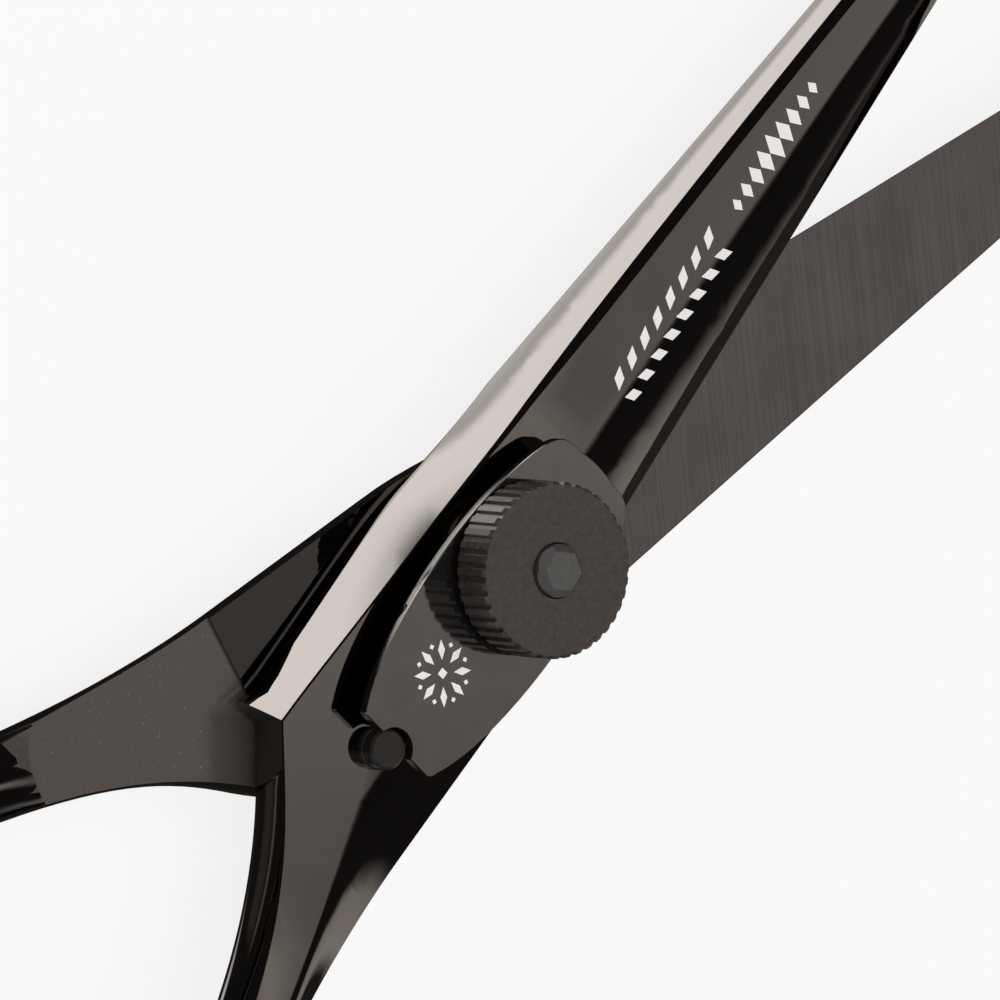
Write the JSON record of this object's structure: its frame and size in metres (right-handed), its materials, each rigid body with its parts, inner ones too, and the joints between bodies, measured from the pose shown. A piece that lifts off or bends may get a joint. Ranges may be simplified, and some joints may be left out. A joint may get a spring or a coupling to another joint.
{
  "type": "hair cutting shears",
  "caption": "Black polished hair cutting shears, standing open, with a knurled tension knob over an eye-shaped spring plate, two finger rings and a curved finger rest.",
  "frame": {"origin": "on the pivot axis, at the flat rear face of the pivot bolt's head, which is the plane the shears rest on", "axes": "+X towards the tips along the bisector of the open blades, +Z along the pivot axis towards the adjusting knob, +Y completes a right-handed frame and points to the finger ring's side"},
  "size_m": [0.1552, 0.0859, 0.0117],
  "materials": {
    "black_polish": "mirror-polished black titanium coat",
    "black_satin": "satin black coat",
    "plate_polish": "polished black spring plate",
    "knob_satin": "knurled, bead-blasted black-brown",
    "bearing_steel": "ground bearing steel",
    "spring_steel": "bright spring steel",
    "acetal": "black acetal",
    "nylon": "black nylon",
    "rubber": "black rubber"
  },
  "bodies": {
    "finger_half": {"finger_blade": "black_polish", "finger_handle": "black_polish", "pivot_bolt": "black_satin", "ride_washer": "acetal", "bearing_inner_race": "bearing_steel", "thrust_sleeve": "spring_steel", "finger_rest": "black_polish", "finger_rest_washer": "rubber"},
    "thumb_half": {"thumb_blade": "black_polish", "thumb_handle": "black_polish", "bearing_outer_race": "bearing_steel", "plate_seat_ring": "black_satin", "spring_plate": "plate_polish", "locating_screw": "black_satin", "bumper": "rubber"},
    "ball_set": {"bearing_cage": "nylon", "bearing_balls": "bearing_steel"},
    "tension_disc": {"thrust_disc": "spring_steel"},
    "tension_knob": {"adjusting_knob": "knob_satin", "knob_lock_ring": "nylon"}
  },
  "joints": [
    {"name": "blade_pivot", "type": "hinge", "parent": "finger_half", "child": "thumb_half", "pos_m": [0, 0, 0.0038], "axis": [0, 0, 1], "range_deg": [-17.9, 100]},
    {"name": "cage_spin", "type": "hinge", "parent": "finger_half", "child": "ball_set", "pos_m": [0, 0, 0.0062], "axis": [0, 0, 1], "range_deg": [-11, 60]},
    {"name": "knob_turn", "type": "hinge", "parent": "finger_half", "child": "tension_disc", "pos_m": [0, 0, 0.0086], "axis": [0, 0, 1], "range_deg": [0, 721]},
    {"name": "knob_rise", "type": "slide", "parent": "tension_disc", "child": "tension_knob", "axis": [0, 0, 1], "range_m": [0, 0.0009]}
  ],
  "couplings": [
    {"joint": "cage_spin", "follows": "blade_pivot", "ratio": 0.593},
    {"joint": "knob_turn", "follows": "knob_rise", "rad_per_m": 13963}
  ]
}
